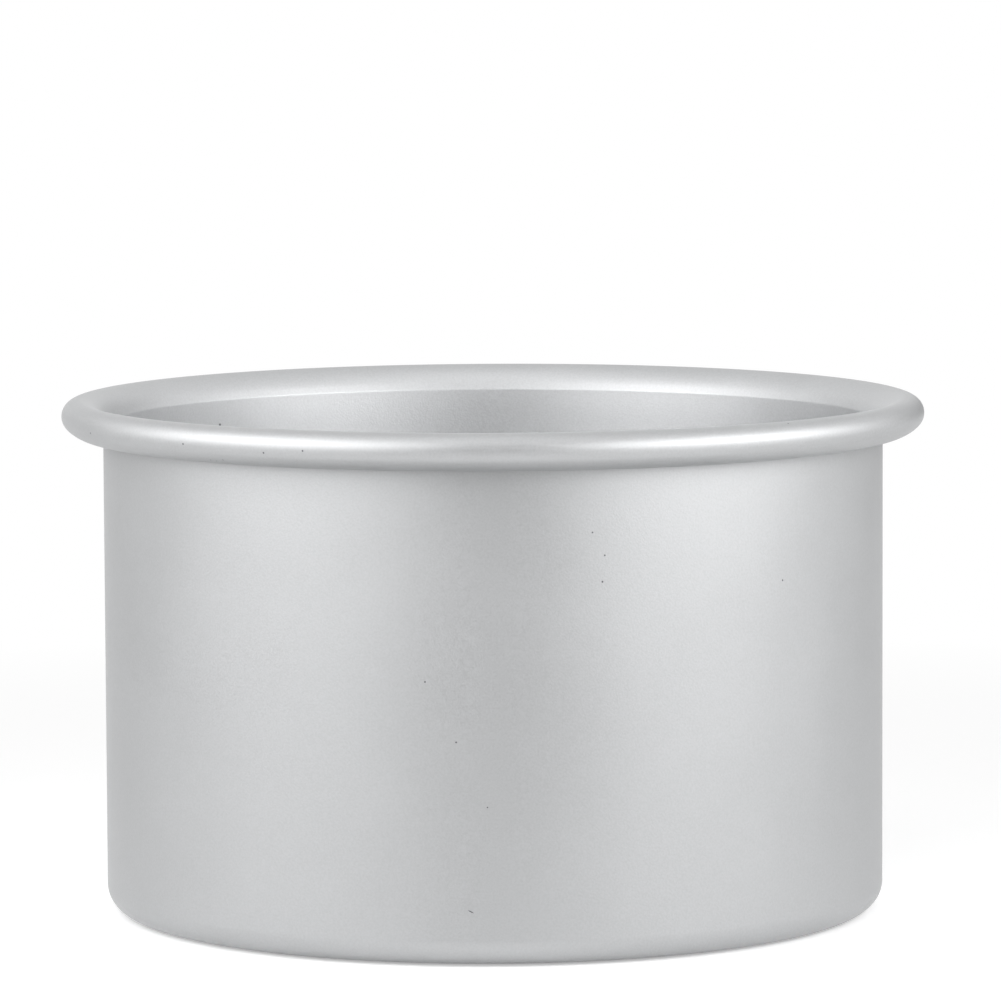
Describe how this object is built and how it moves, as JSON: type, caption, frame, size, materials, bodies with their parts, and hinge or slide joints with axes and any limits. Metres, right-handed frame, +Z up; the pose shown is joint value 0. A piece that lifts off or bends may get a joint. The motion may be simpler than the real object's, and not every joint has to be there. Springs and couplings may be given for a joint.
{
  "type": "deep round cake tin",
  "caption": "Deep round cake tin: straight wall, rounded foot with an inward ledge, hollow rolled rim, and a loose base that lifts out.",
  "frame": {"origin": "centre of the foot, on the surface that the tin stands on", "axes": "+Z up along the tin's axis, out through the open top; +X and +Y any two level directions, because the tin is round"},
  "size_m": [0.1708, 0.1708, 0.1016],
  "materials": {
    "shell_metal": "fine blasted and clear anodised, satin",
    "base_metal": "fine blasted and clear anodised, satin"
  },
  "bodies": {
    "shell": {"tin_shell": "shell_metal"},
    "base": {"loose_base": "base_metal"}
  },
  "joints": [
    {"name": "base_lift", "type": "slide", "parent": "shell", "child": "base", "axis": [0, 0, 1], "range_m": [0, 0.11]}
  ]
}
